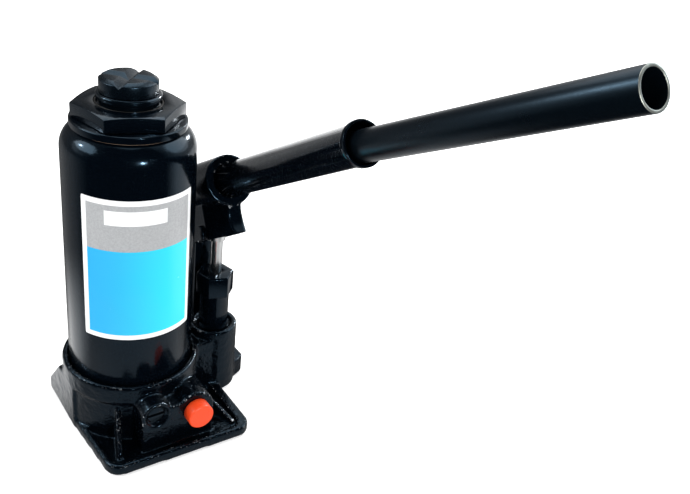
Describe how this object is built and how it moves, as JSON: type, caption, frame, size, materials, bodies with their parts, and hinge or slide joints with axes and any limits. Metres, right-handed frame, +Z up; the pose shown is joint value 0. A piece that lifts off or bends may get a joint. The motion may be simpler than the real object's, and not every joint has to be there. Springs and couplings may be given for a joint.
{
  "type": "hydraulic bottle jack",
  "caption": "Upright hydraulic bottle jack: cast base with a side pump, round tank, rising ram with a screw saddle, release valve cap, and a handle in a pivoting socket.",
  "frame": {"origin": "on the ground, on the ram's axis", "axes": "+Z up along the ram, +X from the ram to the pump, -Y to the operator, where the valves and the handle point"},
  "size_m": [0.1195, 0.3068, 0.2995],
  "materials": {
    "cast_paint": "gloss black paint over a rough casting",
    "gloss_paint": "high gloss black paint",
    "handle_paint": "high gloss black paint",
    "satin_paint": "semi-gloss black paint",
    "black_steel": "blackened steel",
    "bright_steel": "ground and polished",
    "pin_steel": "zinc plated",
    "black_rubber": "matt",
    "fibre": "pressed fibre",
    "copper": "soft copper",
    "orange_plastic": "moulded, semi-gloss"
  },
  "bodies": {
    "jack_body": {"base": "cast_paint", "reservoir": "gloss_paint", "tank_gasket": "fibre", "cap_gasket": "fibre", "cylinder_seal": "fibre", "inner_cylinder": "bright_steel", "cap_nut": "gloss_paint", "ram_wiper": "black_rubber", "pump_cylinder": "gloss_paint", "pump_washer": "copper", "suction_ball": "bright_steel", "discharge_ball": "bright_steel", "link_bar": "gloss_paint", "link_top_pin": "gloss_paint", "link_base_pin": "gloss_paint", "link_top_clip": "gloss_paint", "link_base_clip": "gloss_paint", "overload_plug": "black_steel", "overload_spring": "bright_steel", "overload_ball": "bright_steel", "release_ball": "bright_steel"},
    "ram": {"ram": "bright_steel", "ram_cup_seal": "black_rubber"},
    "saddle_screw": {"extension_screw": "black_steel", "screw_stop_ring": "black_steel"},
    "plunger": {"plunger": "bright_steel", "plunger_seal": "black_rubber", "plunger_pin": "gloss_paint", "plunger_clip": "gloss_paint"},
    "handle_socket": {"handle_socket": "gloss_paint"},
    "handle_tube": {"handle_tube": "handle_paint"},
    "handle_extension": {"handle_extension": "satin_paint"},
    "release_valve": {"release_valve": "pin_steel", "release_seal": "black_rubber"},
    "valve_cap": {"valve_cap": "orange_plastic"},
    "filler_plug": {"filler_plug": "black_rubber"}
  },
  "joints": [
    {"name": "ram_lift", "type": "slide", "parent": "jack_body", "child": "ram", "axis": [0, 0, 1], "range_m": [0, 0.127]},
    {"name": "screw_extend", "type": "slide", "parent": "ram", "child": "saddle_screw", "axis": [0, 0, 1], "range_m": [0, 0.07]},
    {"name": "handle_pump", "type": "hinge", "parent": "jack_body", "child": "handle_socket", "pos_m": [0.0562, 0.0207, 0.1026], "axis": [1, 0, 0], "range_deg": [0, 45]},
    {"name": "plunger_stroke", "type": "slide", "parent": "jack_body", "child": "plunger", "axis": [0, 0, -1], "range_m": [0, 0.0179]},
    {"name": "handle_pull", "type": "slide", "parent": "handle_socket", "child": "handle_tube", "axis": [0, -0.8607, 0.509], "range_m": [0, 0.045]},
    {"name": "extension_pull", "type": "slide", "parent": "handle_tube", "child": "handle_extension", "axis": [0, -0.8796, 0.4756], "range_m": [0, 0.05]},
    {"name": "release_turn", "type": "hinge", "parent": "jack_body", "child": "release_valve", "pos_m": [0.02, -0.051, 0.0235], "axis": [0, -1, 0], "range_deg": [0, 360]},
    {"name": "cap_pull", "type": "slide", "parent": "release_valve", "child": "valve_cap", "axis": [0, -1, 0], "range_m": [0, 0.012]},
    {"name": "plug_pull", "type": "slide", "parent": "jack_body", "child": "filler_plug", "axis": [0, 1, 0], "range_m": [0, 0.012]}
  ],
  "couplings": [
    {"joint": "plunger_stroke", "follows": "handle_pump", "m_per_rad": 0.02266}
  ]
}
